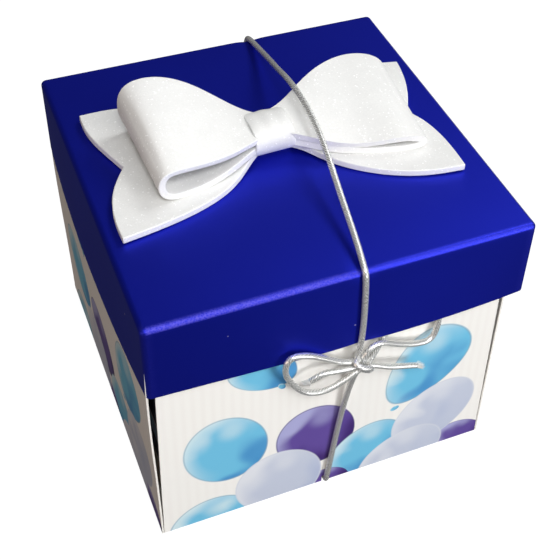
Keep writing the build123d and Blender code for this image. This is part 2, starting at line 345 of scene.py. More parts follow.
def frayed_end(name, tip, way, threads=34, length=2.2):
    """Threads set like seeds in a sunflower: turn by the golden angle, distance by the square root."""
    way = np.array(way) / np.linalg.norm(way)
    side = np.cross(way, (0.0, 0.0, 1.0))
    side /= np.linalg.norm(side)
    other = np.cross(way, side)
    index = np.arange(threads)
    turn, share = index * GOLDEN_TURN, np.sqrt((index + 0.5) / threads)
    out = np.cos(turn)[:, None] * side + np.sin(turn)[:, None] * other
    along = np.array([-0.9, 0.25, 0.7, 1.0])
    reach = length * (0.65 + 0.35 * np.cos(index * 2.4))
    spread = CORD_D / 2 * share[:, None] * (0.8 + 0.75 * np.maximum(along, 0.0) ** 1.5)
    middle = tip + way * (along * reach[:, None])[..., None] + out[:, None] * spread[..., None]
    corner = np.radians([90.0, 210.0, 330.0])
    ring = np.cos(corner)[:, None] * side + np.sin(corner)[:, None] * other
    thin = np.array(THREAD_RADIUS)[None, :, None, None]
    points = middle[:, :, None] + ring[None, None] * thin
    one = grid_quads(4, 3, closed=True)
    faces = (one[None] + 12 * index[:, None, None]).reshape(-1, 4)
    low = np.array([[0, 1, 2], [11, 10, 9]])
    caps = (low[None] + 12 * index[:, None, None]).reshape(-1, 3)
    flat = np.zeros((threads * 12, 2))
    return make_piece(name, points.reshape(-1, 3), np.array(faces.tolist() + caps.tolist(), dtype=object),
                      [core_yarn], flat=flat)


tufts = [frayed_end("cord_frayed_left", cord_line[0], cord_line[0] - cord_line[4]),
         frayed_end("cord_frayed_right", cord_line[-1], cord_line[-1] - cord_line[-5])]
for tuft in tufts:
    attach(tuft, "cord")
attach(cord, "cord")
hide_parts("cord_around_box", "cord_knot", "cord_left_loop", "cord_right_loop", "cord_left_end",
            "cord_right_end")

# %% [markdown]
# ## Blue pearl card
#
# The lid is card printed with a deep blue ink full of fine mica flakes and laminated with a satin
# film. The flakes lie almost flat and act as tiny blue mirrors, so the card is nearly black where
# they reflect nothing and a full blue where they face a light. That is a metal's behaviour, so most
# of the colour goes into a rough metallic reflection. The film crazes along the folds, and there the
# colour is painted lavender in crackled specks: partly wear, partly a painted highlight, strongest on
# the front fold left of the cord. A thin light grey line along the right fold is a painted highlight,
# and dust leaves a few bright dots.

# %% Lid finish: mica pearl ink under satin film
blue_card, tree, shader = new_material("satin_film_over_blue_pearl_ink")
place = add(tree, "TexCoord")[3]
FILM_GRAIN = 0.30 * MM
CRAZE = 0.45 * MM
SPECK_SPACING = 13 * MM
film = noise(tree, place, FILM_GRAIN, 2.0)
craze = add(tree, "TexVoronoi", {"Vector": place, "Scale": 1 / CRAZE}, feature="F1")
mottle = noise(tree, place, 40 * MM, 2.0)
fold = add(tree, "Attribute", attribute_name="fold", attribute_type="GEOMETRY")[2]
craze_pattern = remap(tree, craze[0], 0.2, 0.75, 0.25, 1.0)
wear_and_sheen = times(tree, fold, craze_pattern)
deep = mix(tree, mottle, linear("#1520ae"), linear("#1826bc"))
specks = add(tree, "TexVoronoi", {"Vector": place, "Scale": 1 / SPECK_SPACING}, feature="F1")[0]
dust = remap(tree, specks, 0.016, 0.024, 1.0, 0.0)
# Painted highlight, partly real wear: the fold is mixed towards lavender in crackled specks.
scuffed_and_sheen = mix(tree, wear_and_sheen, deep, linear("#4c48c0"))
dusty = mix(tree, dust, scuffed_and_sheen, linear("#c9c8ea"))
# Painted highlight: a thin light grey, non-metallic line along the middle of the right fold.
rim_highlight = add(tree, "Attribute", attribute_name="rim_highlight", attribute_type="GEOMETRY")[2]
rim_highlighted = mix(tree, rim_highlight, dusty, linear("#b4b6c0"))
tree.links.new(rim_highlighted, shader.inputs["Base Color"])
less_pearl = times(tree, wear_and_sheen, 0.45, rim_highlight)
pearl = remap(tree, less_pearl, 0.0, 1.0, 0.87, 0.0)
tree.links.new(pearl, shader.inputs["Metallic"])
satin = remap(tree, film, 0.3, 0.7, 0.44, 0.50)
dulled = times(tree, fold, 0.16, satin)
tree.links.new(dulled, shader.inputs["Roughness"])
height = times(tree, wear_and_sheen, 0.6, film)
add_relief(tree, shader, 0.15, 0.04 * MM, height)
shader.inputs["Specular IOR Level"].default_value = 0.5
print("made", blue_card.name)

# %% [markdown]
# ## White card
#
# The card's core shows wherever it is cut and on the unprinted sides: uncoated pulp board, matt and
# slightly warm, with short fibres that show as a faint cloudiness.

# %% Card core finish: uncoated pulp board
white_card, tree, shader = new_material("uncoated_white_board")
place = add(tree, "TexCoord")[3]
FIBRE = 0.8 * MM
fibres = noise(tree, place, FIBRE, 4.0)
pulp = mix(tree, fibres, linear("#e4e0d8"), linear("#f6f4ef"))
tree.links.new(pulp, shader.inputs["Base Color"])
add_relief(tree, shader, 0.12, 0.04 * MM, fibres)
shader.inputs["Roughness"].default_value = 0.82
print("made", white_card.name)

# %% [markdown]
# ## The lid
#
# A folded lid has no sharp edges: the top turns over into the skirt through a soft fold about a
# millimetre in radius, and the skirt, held only at its corners, bows out between them. The front
# skirt bows most where the cord's loop is tucked behind it. A box with bevels would miss the bowing,
# so one profile is carried round the outline instead: top, fold, skirt, cut edge, then back up the
# inside. Rings shrink to one point at the middle of the top, which closes the shell.

# %% Lid outline
CARD = 0.5
FOLD = 1.4
SKIRT = lid_high[2] - lid_low[2]
half_x, half_y = lid_high[0], lid_high[1]


CORNER_RADIUS = 1.55   # over FOLD, or the top's inner ring would cross itself at the corners
CORD_FRONT_X, CORD_BACK_X = 3.8, 11.3   # where the cord crosses the lid's front and back edges
CORD_DENT = 0.6
DENT_WIDTH = 2.4
DENT_FADE = 3.0        # mm down the skirt


def rounded_outline(half_x, half_y, radius, per_side=64, per_corner=5):
    """Points of a rounded rectangle, anticlockwise from the front side, with outward normals.

    Also gives for each point its side (0 front, 1 right, 2 back, 3 left), its place along that side
    from -1 to 1, and how far it is turned into a corner.
    """
    points, normals, sides, along, corner = [], [], [], [], []
    for side in range(4):
        out = np.array([math.sin(side * math.pi / 2), -math.cos(side * math.pi / 2)])
        way = np.array([-out[1], out[0]])
        reach, run = (half_y, half_x) if side % 2 == 0 else (half_x, half_y)
        t = np.linspace(-1.0, 1.0, per_side)
        straight = out * reach + way * (t * (run - radius))[:, None]
        bend = np.linspace(0.0, math.pi / 2, per_corner + 2)[1:-1]
        turned = np.cos(bend)[:, None] * out + np.sin(bend)[:, None] * way
        centre = out * (reach - radius) + way * (run - radius)
        points += [straight, centre + turned * radius]
        normals += [np.tile(out, (per_side, 1)), turned]
        sides += [np.full(per_side + per_corner, side)]
        along += [t, np.ones(per_corner)]
        corner += [np.exp(-((1 - np.abs(t)) * run / 0.8) ** 2), np.ones(per_corner)]
    return (np.concatenate(points), np.concatenate(normals), np.concatenate(sides), np.concatenate(along),
            np.concatenate(corner))


outline, outward, side_of, along_side, corner_of = rounded_outline(half_x, half_y, CORNER_RADIUS)
BOW_OUT = np.array([1.6, 0.7, 0.8, 1.8])
LEAN = np.array([0.5, 0.0, 0.0, 0.0])
swell = BOW_OUT[side_of] * (1 - along_side ** 2) * (1 + LEAN[side_of] * along_side)
pressed = (side_of == 0) * np.exp(-((outline[:, 0] - CORD_FRONT_X) / 5.0) ** 2)
swell = swell - 0.35 * pressed
# Painted highlight, partly real wear: how lavender each fold turns, most on the front fold, fading to the
# right of the cord.
FOLD_WEAR_AND_SHEEN = np.array([1.0, 0.0, 0.15, 0.0])
to_the_right = 0.25 + 0.75 * np.clip((8 - outline[:, 0]) / 16, 0, 1)
rubbed_and_sheen = FOLD_WEAR_AND_SHEEN[side_of] * np.where(side_of == 0, to_the_right, 1.0)
dent = CORD_DENT * (side_of == 0) * np.exp(-((outline[:, 0] - CORD_FRONT_X) / DENT_WIDTH) ** 2)
dent = dent + CORD_DENT * (side_of == 2) * np.exp(-((outline[:, 0] - CORD_BACK_X) / DENT_WIDTH) ** 2)
print("outline of", len(outline), "points, skirt bows out up to", round(swell.max(), 2), "mm")


# %% Lid shell
def lid_ring(inset, z):
    """The outline moved in by inset at height z, bowed out by swell times (drop / skirt) ** 1.3.

    The fold sinks a little under the cord, by dent, which fades over DENT_FADE down the skirt.
    """
    drop = np.clip((lid_high[2] - z) / SKIRT, 0.0, 1.0) ** 1.3
    sink = dent * np.clip(1 - (lid_high[2] - z) / DENT_FADE, 0.0, 1.0) * (inset < FOLD + 0.01)
    flat_ring = outline + outward * (swell * drop - inset - 0.6 * sink)[:, None]
    return np.column_stack([flat_ring, z - 0.6 * sink])


top = lid_high[2]
rings, fold_share = [], []
edge_of_top = lid_ring(FOLD, top)
for share in np.append(np.linspace(0.04, 0.90, 16), (0.925, 0.945, 0.965, 0.98, 0.99, 1.0)):
    ring = edge_of_top * (share, share, 1.0)
    ring[:, 2] = top - (top - edge_of_top[:, 2]) * share ** 16
    rings.append(ring)
    fold_share.append(rubbed_and_sheen * (0.0 if share < 0.995 else 0.4))
for angle in np.radians(np.linspace(0.0, 90.0, 9)[1:]):
    rings.append(lid_ring(FOLD * (1 - math.sin(angle)), top - FOLD * (1 - math.cos(angle))))
    fold_share.append(np.maximum(rubbed_and_sheen * math.sin(2 * angle) ** 0.7, 0.15 * corner_of))
for z in np.linspace(top - FOLD, lid_low[2] + 0.1, 18)[1:]:
    rings.append(lid_ring(0.0, z))
    fold_share.append(0.10 * corner_of)
rings.append(lid_ring(0.1, lid_low[2]))
fold_share.append(np.zeros(len(outline)))
skin_rings = len(rings)
for z in np.linspace(lid_low[2], top - CARD, 14):
    rings.append(lid_ring(CARD - (0.1 if z == lid_low[2] else 0.0), z))
    fold_share.append(np.zeros(len(outline)))
inside_edge = rings[-1]
for share in np.linspace(1.0, 0.04, 12)[1:]:
    rings.append(inside_edge * (share, share, 1.0))
    fold_share.append(np.zeros(len(outline)))

around = len(outline)
points = np.concatenate(rings + [[[0.0, 0.0, top]], [[0.0, 0.0, top - CARD]]])
quads = grid_quads(len(rings), around, closed=True)
ids = np.arange(around)
top_pole, inner_pole, last_ring = len(points) - 2, len(points) - 1, (len(rings) - 1) * around
top_fan = np.column_stack([np.full(around, top_pole), ids, np.roll(ids, -1)])
inner_fan = np.column_stack([last_ring + ids, np.full(around, inner_pole), last_ring + np.roll(ids, -1)])
faces = quads.tolist() + top_fan.tolist() + inner_fan.tolist()
finish = np.concatenate([np.repeat(np.arange(len(rings) - 1) >= skin_rings - 1, around), np.zeros(around),
                         np.ones(around)])
lid = make_piece("lid", points, np.array(faces, dtype=object), [blue_card, white_card], finish)
crease = lid.data.attributes.new("fold", "FLOAT", "POINT")
crease.data.foreach_set("value", np.concatenate(fold_share + [[0.0, 0.0]]).astype(np.float32))
ring_of = np.repeat(np.arange(len(rings)), around)
# Painted highlight: the light grey line on the right fold, a few rings about the middle of the fold.
on_right = np.tile((side_of == 1) & (np.abs(along_side) < 0.995), len(rings))
RIM_HIGHLIGHT_RING = 25   # about the middle of the fold
rim_highlight_points = on_right & (np.abs(ring_of - RIM_HIGHLIGHT_RING) < 2)
rim_highlight_layer = lid.data.attributes.new("rim_highlight", "FLOAT", "POINT")
rim_highlight_layer.data.foreach_set("value", np.concatenate([rim_highlight_points * 0.8, [0, 0]]).astype(np.float32))
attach(lid, "lid")
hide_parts("lid_shell")
print("lid:", len(lid.data.polygons), "faces")

# %% [markdown]
# ## Sheets with a thickness
#
# Walls, bow and band are all sheets. Each is given as a grid of points through the middle of the
# sheet. The normal at each point is the cross product of the two grid directions; half the thickness
# along it gives the front, half the other way the back, and a rim joins them.

# %% Sheet helper
def sheet_piece(name, middle, thickness, materials, flat=None, sharp=40.0):
    """A closed sheet from its middle surface, an array of rows x columns x 3 in mm.

    materials is (front, back, rim). The front faces along (down the rows) x (along the columns).
    """
    normal = np.cross(np.gradient(middle, axis=0), np.gradient(middle, axis=1))
    normal /= np.linalg.norm(normal, axis=-1, keepdims=True)
    front, back = middle + normal * thickness / 2, middle - normal * thickness / 2
    rows, columns = middle.shape[:2]
    count = rows * columns
    quads = grid_quads(rows, columns)
    k = np.arange(count).reshape(rows, columns)
    border = np.concatenate([k[:-1, 0], k[-1, :-1], k[:0:-1, -1], k[0, :0:-1]])
    after = np.roll(border, -1)
    rim = np.column_stack([after, border, border + count, after + count])
    faces = np.concatenate([quads, quads[:, ::-1] + count, rim])
    finish = np.concatenate([np.zeros(len(quads)), np.ones(len(quads)), np.full(len(rim), 2)])
    points = np.concatenate([front.reshape(-1, 3), back.reshape(-1, 3)])
    both = None if flat is None else np.concatenate([flat.reshape(-1, 2)] * 2)
    return make_piece(name, points, faces, materials, finish, both, sharp)


def soften(piece, width, segments=2):
    """Rounds the rim's edges with a Bevel modifier, as a knife leaves foam and card."""
    bevel = piece.modifiers.new("cut_edge", "BEVEL")
    bevel.width = width * MM
    bevel.segments = segments
    bevel.limit_method = "ANGLE"
    bevel.angle_limit = math.radians(50.0)
    return piece


print("sheets are ready")

# %% [markdown]
# ## Printed card
#
# The walls carry a printed picture: balloons crowded at the bottom of an off-white ground with faint
# upright stripes. Each balloon is an egg-shaped outline in the wall's own millimetres. Inside it the
# tone runs from a deep colour low on one side through the main colour to a pale glow above, broken by
# soft cloudy reflections, and a thin line edges it. Balloons are laid over each other from the back.

# %% Balloon painter
TONES = {   # deep, main, pale, edge
    "sky": ("#4b94cb", "#70c0e2", "#d4e9ef", "#86a9bf"),
    "violet": ("#40276f", "#604a98", "#aaaad6", "#3e2a72"),
    "lilac": ("#b2bcd6", "#c3cadc", "#e0e3ea", "#d3d7e2"),
}


def lay_balloon(tree, flat, clouds, under, centre, half, tilt, tone, egg=0.0):
    """Lays one balloon over the picture so far and returns the new colour.

    The outline is where the length of the tilted, scaled place (u, v * (1 - egg * u)) reaches 1.
    The tone follows height and leftness in the balloon, moved about by the clouds.
    """
    deep, main, pale, edge = (linear(shade) for shade in TONES[tone])
    local = add(tree, "Mapping", {"Vector": flat, "Location": (*centre, 0.0), "Scale": (*half, 1.0),
                                  "Rotation": (0.0, 0.0, math.radians(tilt))}, vector_type="TEXTURE")[0]
    if egg:
        parts = add(tree, "SeparateXYZ", {0: local})
        narrow = times(tree, parts[0], -egg, 1.0)
        width = times(tree, parts[1], narrow)
        local = add(tree, "CombineXYZ", {0: parts[0], 1: width})[0]
    away = add(tree, "VectorMath", {0: local}, operation="LENGTH")[1]
    cover = remap(tree, away, 0.985, 1.015, 1.0, 0.0)
    size = 1 / max(half)
    moved = (-centre[0] * size, -centre[1] * size, 0)
    upright = add(tree, "VectorMath", {0: flat, 1: (size, size, 0.0), 2: moved}, operation="MULTIPLY_ADD")[0]
    lit = add(tree, "VectorMath", {0: upright, 1: (-0.30, 0.38, 0.0)}, operation="DOT_PRODUCT")[1]
    level = add(tree, "Math", {0: lit, 1: clouds}, operation="ADD")[0]
    body = add(tree, "ValToRGB", {0: level})
    ramp = tree.nodes[-1].color_ramp
    ramp.interpolation = "EASE"
    ramp.elements[0].position, ramp.elements[0].color = 0.02, deep
    ramp.elements[1].position, ramp.elements[1].color = 0.98, pale
    ramp.elements.new(0.38).color = main
    ramp.elements.new(0.64).color = main
    glint = add(tree, "VectorMath", {0: upright, 1: (0.12, 0.56, 0.0)}, operation="DISTANCE")[1]
    shine = add(tree, "MapRange", {0: glint, 1: 0.05, 2: 0.40, 3: 0.52, 4: 0.0},
                interpolation_type="SMOOTHSTEP")[0]
    shone = mix(tree, shine, body[0], pale)
    rim = remap(tree, away, 0.62, 0.96)
    turned = add(tree, "VectorMath", {0: upright, 1: (-0.62, 0.42, 0.0)}, operation="DOT_PRODUCT")[1]
    facing = remap(tree, turned, -0.25, 0.65, 0.0, 0.9)
    glow = times(tree, rim, facing)
    rimmed = mix(tree, glow, shone, pale)
    line = remap(tree, away, 0.955, 0.985, 0.0, 0.7)
    edged = mix(tree, line, rimmed, edge)
    return mix(tree, cover, under, edged)


BALLOONS = [   # centre, half sizes in mm from the wall's centre line and its foot, tilt, tone, egg
    ((-19.6, 57.0), (10.3, 7.4), -37, "sky", -0.15),
    ((-14.6, 48.6), (1.3, 0.9), -50, "sky", 0.0),
    ((-30.0, 28.8), (11.5, 13.8), 19, "sky", 0.0),
    ((-4.2, 22.8), (11.4, 13.0), 24, "violet", 0.0),
    ((42.8, 2.0), (8.0, 5.4), -20, "violet", 0.0),
    ((27.6, 39.0), (15.6, 10.8), 57, "sky", 0.22),
    ((19.6, 23.8), (1.4, 0.9), 20, "sky", 0.0),
    ((-34.4, -4.0), (13.0, 13.0), 0, "sky", 0.0),
    ((11.6, 8.6), (13.0, 10.6), 45, "sky", 0.0),
    ((0.2, 0.4), (6.8, 4.8), -20, "violet", 0.0),
    ((32.4, 16.6), (14.6, 11.0), 46, "lilac", 0.0),
    ((23.2, 0.2), (14.4, 10.8), 32, "lilac", 0.0),
    ((-14.8, 7.4), (13.4, 12.6), -54, "lilac", 0.0),
]
print(len(BALLOONS), "shapes in the picture")

# %% Wall finish: coated card with a printed picture
printed_card, tree, shader = new_material("coated_card_balloon_print")
flat = add(tree, "UVMap", uv_map="flat_mm")[0]
STRIPE = 2.6      # mm between stripes
CLOUD = 12.0      # mm across one soft reflection
across = add(tree, "SeparateXYZ", {0: flat})[0]
stripes = times(tree, across, 2 * math.pi / STRIPE)
wave = add(tree, "Math", {0: stripes}, operation="SINE")[0]
slow = noise(tree, flat, 30.0, 1.0)
striped = remap(tree, wave, -0.6, 0.9)
ground = mix(tree, striped, linear("#f6f4ef"), linear("#f2efea"))
paint = mix(tree, slow, ground, linear("#f4f2ee"))
cloud = add(tree, "TexNoise", {"Vector": flat, "Scale": 1 / CLOUD, "Detail": 0.6, "Distortion": 0.35})[0]
clouds = remap(tree, cloud, 0.30, 0.70, 0.24, 0.70)
for centre, half, tilt, tone, egg in BALLOONS:
    paint = lay_balloon(tree, flat, clouds, paint, centre, half, tilt, tone, egg)
tree.links.new(paint, shader.inputs["Base Color"])
pores = noise(tree, flat, 0.5, 3.0)
add_relief(tree, shader, 0.05, 0.03 * MM, pores)
shader.inputs["Roughness"].default_value = 0.42
shader.inputs["IOR"].default_value = 1.5
print("picture of", len(tree.nodes), "nodes")

# %% [markdown]
# ## The four outer walls
#
# Each wall is one sheet of card. The front and back walls are a little narrower at the top, so a gap
# opens at the corners, and they have a notch at the foot for the cord. Card is never quite flat: the
# left wall stands out under the skirt, and the front wall gives way inwards where the loop of cord
# is tucked above it. The grid's columns run up the wall and its flat drawing is in millimetres from
# the wall's centre line, so the picture lies the same way on all four.

# %% Outer walls
NOTCH_X, NOTCH_HALF, NOTCH_HIGH = -2.7, 1.05, 2.3
TAPER = 1.25        # mm that the front and back walls lose on each side on the way up


def belly(share):
    """A smooth swell up the wall, nothing at the foot and the top and most at two thirds."""
    return np.sin(math.pi * np.clip(share, 0.0, 1.0) ** 1.7)


def wall_grid(node, face, up_steps=44):
    """Middle surface and mm drawing of a wall, from the frame's own wall.

    face is the way the printed side looks. Columns crowd where the notch's upright edges are.
    """
    low, high = (np.array(corner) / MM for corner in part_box(node))
    upright = np.array([0.0, 0.0, 1.0])
    out = np.array(face, dtype=float)
    right = np.cross(upright, out)
    tapered = node in ("front_wall", "back_wall")
    axis = 0 if tapered else 1
    half_width = (high[axis] - low[axis]) / 2
    middle = (low + high) / 2
    notch_mid = (NOTCH_X - middle[0]) * right[0]
    edges = notch_mid + np.array([-NOTCH_HALF - 0.05, -NOTCH_HALF, NOTCH_HALF, NOTCH_HALF + 0.05])
    u = np.linspace(-1.0, 1.0, 49) * half_width
    if tapered:
        within = notch_mid + np.linspace(-0.7, 0.7, 3)
        u = np.sort(np.concatenate([u[np.abs(u - notch_mid) > 1.5], edges, within]))
    in_notch = tapered & (np.abs(u - notch_mid) < NOTCH_HALF + 0.02)
    foot = np.where(in_notch, NOTCH_HIGH, 0.0)
    v = np.linspace(0.0, 1.0, up_steps)[None, :]
    z = foot[:, None] + (high[2] - foot[:, None]) * v
    narrow = 1 - (TAPER if tapered else 0.0) / half_width * z / high[2]
    across = u[:, None] * narrow
    return middle, right, out, u, across, z, z / high[2], half_width


SWELLS = {   # mm outwards from the flat, as a function of share across (-1 to 1) and share up
    "front_wall": lambda a, z, up: (
        -0.8 * np.exp(-((a * 49 - 22) / 15) ** 2) * np.clip((z - 47) / 14, 0, 1) ** 1.5),
    "back_wall": lambda a, z, up: 0.0 * up,
    "left_wall": lambda a, z, up: (0.8 + 0.35 * (1 - a ** 2)) * belly(up),
    "right_wall": lambda a, z, up: 0.5 * (1 - a ** 2) * belly(up),
}
for node, face in (("front_wall", (0, -1, 0)), ("back_wall", (0, 1, 0)), ("left_wall", (-1, 0, 0)),
                   ("right_wall", (1, 0, 0))):
    middle, right, out, u, across, z, up, half_width = wall_grid(node, face)
    swelling = SWELLS[node](u[:, None] / half_width, z, up)
    surface = middle * (1, 1, 0) + across[..., None] * right + z[..., None] * (0, 0, 1)
    surface = surface + swelling[..., None] * out
    drawing = np.stack([across, z], axis=-1)
    faces_of_card = [printed_card, white_card, white_card]
    wall = sheet_piece(node.replace("wall", "panel"), surface, CARD, faces_of_card, drawing)
    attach(wall, node)
    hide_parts(node)
    print(wall.name, "bows", round(float(np.abs(swelling).max()), 2), "mm")

# %% [markdown]
# ## The box inside
#
# Through the open corner a second, smaller box shows: card printed in broad bands, navy with a teal
# band between, over a beige foot. Its walls keep the frame's shapes and only get a finish. The bands
# are heights in the frame, so they meet at the corners.

# %% Inner box finish: coated card printed in bands
banded_card, tree, shader = new_material("coated_card_banded_print")
place = add(tree, "TexCoord")[3]
height = add(tree, "SeparateXYZ", {0: place})[2]
wobble = noise(tree, place, 9 * MM, 2.0)
shifted = times(tree, wobble, 1.2 * MM, height)
level = remap(tree, shifted, 0.0, 80 * MM)
bands = add(tree, "ValToRGB", {0: level})
ramp = tree.nodes[-1].color_ramp
ramp.interpolation = "CONSTANT"
ramp.elements[0].position, ramp.elements[0].color = 0.0, linear("#ecd9c9")
ramp.elements[1].position, ramp.elements[1].color = 0.225, linear("#10183f")
for share, shade in ((0.325, "#aec8d4"), (0.41, "#e6d6d2"), (0.425, "#141426"), (0.66, "#1b2d66")):
    ramp.elements.new(share).color = linear(shade)
spots = add(tree, "TexVoronoi", {"Vector": place, "Scale": 1 / (7 * MM)})[0]
bright = remap(tree, spots, 0.16, 0.24, 0.6, 0.0)
above = remap(tree, level, 0.22, 0.23)
dotted = times(tree, bright, above)
colour = mix(tree, dotted, bands[0], linear("#3f6fd0"))
tree.links.new(colour, shader.inputs["Base Color"])
shader.inputs["Roughness"].default_value = 0.4
print("made", banded_card.name)

# %% [markdown]
# Double-sided foam tape holds the inner box down and the bow on: closed-cell acrylic foam, soft
# white, with a fine pitted surface.

# %% Tape finish: acrylic foam
foam_tape, tree, shader = new_material("acrylic_foam_tape")
place = add(tree, "TexCoord")[3]
cells = add(tree, "TexVoronoi", {"Vector": place, "Scale": 1 / (0.35 * MM)})[0]
shade = mix(tree, cells, linear("#d9dcda"), linear("#f1f2ef"))
tree.links.new(shade, shader.inputs["Base Color"])
add_relief(tree, shader, 0.3, 0.08 * MM, cells)
shader.inputs["Roughness"].default_value = 0.6
FINISHES = {
    white_card: ["base_panel"],
    banded_card: ["inner_base", "inner_front_wall", "inner_back_wall", "inner_left_wall", "inner_right_wall"],
    foam_tape: ["base_glue_pads", "lid_glue_tabs"],
}
for material, names in FINISHES.items():
    for name in names:
        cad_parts[name].data.materials.clear()
        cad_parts[name].data.materials.append(material)
print("finishes on", sum(len(names) for names in FINISHES.values()), "frame nodes")

# %% [markdown]
# ## White glitter foam
#
# The bow is cut from EVA foam sheet with a skin of fine white glitter. From a distance it is matt
# white with a soft grain, and here and there a flake flashes. The flakes are cells of a Voronoi
# pattern, each with its own random tone that tilts and polishes it a little, and in a random few the
# colour is painted almost white as a glint.

# %% Bow finish: EVA foam with a glitter skin
glitter_foam, tree, shader = new_material("white_glitter_eva_foam")
place = add(tree, "TexCoord")[3]
FLAKE = 0.34 * MM     # real flakes are about 0.2 mm; drawn coarser so that they show
flakes = add(tree, "TexVoronoi", {"Vector": place, "Scale": 1 / FLAKE})
tilt = add(tree, "SeparateColor", {0: flakes[1]})
cloud = noise(tree, place, 5 * MM, 3.0)
soft = mix(tree, cloud, linear("#dededc"), linear("#e8e8e6"))
grain = remap(tree, tilt[0], 0.0, 1.0, 0.0, 0.35)
grained = mix(tree, grain, soft, linear("#d6d6d5"))
# Painted glint, with a real polish: a random few flakes are painted almost white and made smoother.
flash = remap(tree, tilt[1], 0.965, 0.99, 0.0, 0.8)
sparkled = mix(tree, flash, grained, linear("#ffffff"))
tree.links.new(sparkled, shader.inputs["Base Color"])
rough = remap(tree, flash, 0.0, 1.0, 0.68, 0.22)
tree.links.new(rough, shader.inputs["Roughness"])
add_relief(tree, shader, 0.22, 0.08 * MM, tilt[2])
print("made", glitter_foam.name)

# %% [markdown]
# ## Smooth curves from a few points
#
# Outlines of cut and bent foam are free curves. A uniform cubic B-spline turns a few given points
# into a smooth line: each place on it is a weighted mean of four neighbouring points, and tripled end
# points make it start and end exactly on them.

# %% Curve helper
def b_spline(points, count):
    """Places on a cubic B-spline: weights (1-f)^3, 3f^3-6f^2+4, -3f^3+3f^2+3f+1, f^3, over six."""
    p = np.array(points, dtype=float)
    p = np.concatenate([p[:1], p[:1], p, p[-1:], p[-1:]])
    u = np.linspace(0.0, len(p) - 3 - 1e-9, count)
    i = u.astype(int)
    f = (u - i)[:, None]
    weights = ((1 - f) ** 3, 3 * f ** 3 - 6 * f ** 2 + 4, -3 * f ** 3 + 3 * f ** 2 + 3 * f + 1, f ** 3)
    line = sum(weight * p[i + k] for k, weight in enumerate(weights)) / 6
    run = np.concatenate([[0.0], np.cumsum(np.linalg.norm(np.diff(line, axis=0), axis=1))])
    even = np.linspace(0.0, run[-1], count)
    return np.column_stack([np.interp(even, run, line[:, axis]) for axis in range(line.shape[1])])


print("a spline through 4 points:", b_spline([(0, 0), (1, 1), (2, 1), (3, 0)], 3).round(2).tolist())

# %% [markdown]
# ## The bow's tails
#
# Under the loops lies one strip of foam cut to a swallow tail at both ends. It is a Coons patch: a
# blend between the lower and the upper outline, with the notched end line added near the tip. Under
# the band the strip is narrow and raised, and it droops on to the lid on both sides.

# %% Bow tails
FOAM = 1.9
lid_top = lid_high[2]
BOW_X = -1.5


def tail_half(lower, upper, notch, low_lobe, high_lobe, along=46, across=29):
    """Half of the tails as a grid (along from the middle, across from lower to upper outline).

    The end line goes from the lower tip by a bulging lobe to the notch and by another to the upper
    tip. It is blended in with the cube of the share along, so the cut only shapes the end.
    """
    low_line, high_line = b_spline(lower, along), b_spline(upper, along)
    half = across // 2
    low_end = b_spline([low_line[-1], *low_lobe, notch], half + 1)
    high_end = b_spline([notch, *high_lobe, high_line[-1]], half + 1)
    end = np.concatenate([low_end, high_end[1:]])
    s = np.linspace(0.0, 1.0, along)[:, None, None]
    t = np.linspace(0.0, 1.0, across)[None, :, None]
    ruled = (1 - t) * low_line[:, None] + t * high_line[:, None]
    straight_end = (1 - t) * low_line[-1] + t * high_line[-1]
    return ruled + s ** 3 * (end[None] - straight_end)


left = tail_half(
    [(BOW_X, -2.6), (-4.6, -2.6), (-8.6, -5.6), (-14.0, -11.6), (-22.0, -16.6), (-34.0, -20.4),
     (-47.8, -22.8)],
    [(BOW_X, 4.4), (-5.0, 4.8), (-10.0, 8.6), (-16.0, 15.5), (-24.5, 23.5), (-33.5, 29.0), (-46.0, 28.4)],
    (-40.5, 3.4), [(-48.2, -14.5), (-46.0, -4.5)], [(-43.2, 10.5), (-46.4, 20.0)])
right = tail_half(
    [(BOW_X, -2.6), (2.4, -2.6), (6.6, -4.4), (11.4, -12.0), (20.5, -19.8), (32.0, -25.4), (44.2, -26.6)],
    [(BOW_X, 4.4), (2.4, 4.8), (8.0, 9.0), (14.0, 15.5), (22.0, 21.5), (33.0, 26.0), (47.4, 22.3)],
    (39.9, -0.1), [(44.6, -17.5), (43.4, -6.5)], [(43.4, 6.0), (46.4, 15.0)])
strip = np.concatenate([left[::-1], right[1:]])
away = np.abs(strip[..., 0] - BOW_X)
lift = 1.9 * np.exp(-(away / 9.0) ** 2) + 0.30 * np.clip(away / 48, 0, 1) ** 3
curl = 0.25 * np.sin(strip[..., 1] / 9.0) * np.clip((away - 14) / 30, 0, 1)
middle = np.dstack([strip[..., 0], strip[..., 1], lid_top + 0.1 + FOAM / 2 + lift + np.clip(curl, 0, 1)])
tails = soften(sheet_piece("bow_tail_strip", middle, FOAM, [glitter_foam] * 3), 0.35)
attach(tails, "lid")
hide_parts("bow_tails")
print("tails", np.ptp(strip[..., 0]).round(1), "mm from tip to tip")

# %% [markdown]
# ## The bow's loops
#
# Each loop is a band of foam bent round and pinched in the middle. Its front and its back edge are
# closed-looking curves that start under the centre band, run out along the tail, turn over at the
# outer end and come back on top. The sheet is the surface ruled between those two edges, fuller at
# the back and lower at the front, with a slight crown in between so that it doesn't look like a fold
# of paper.

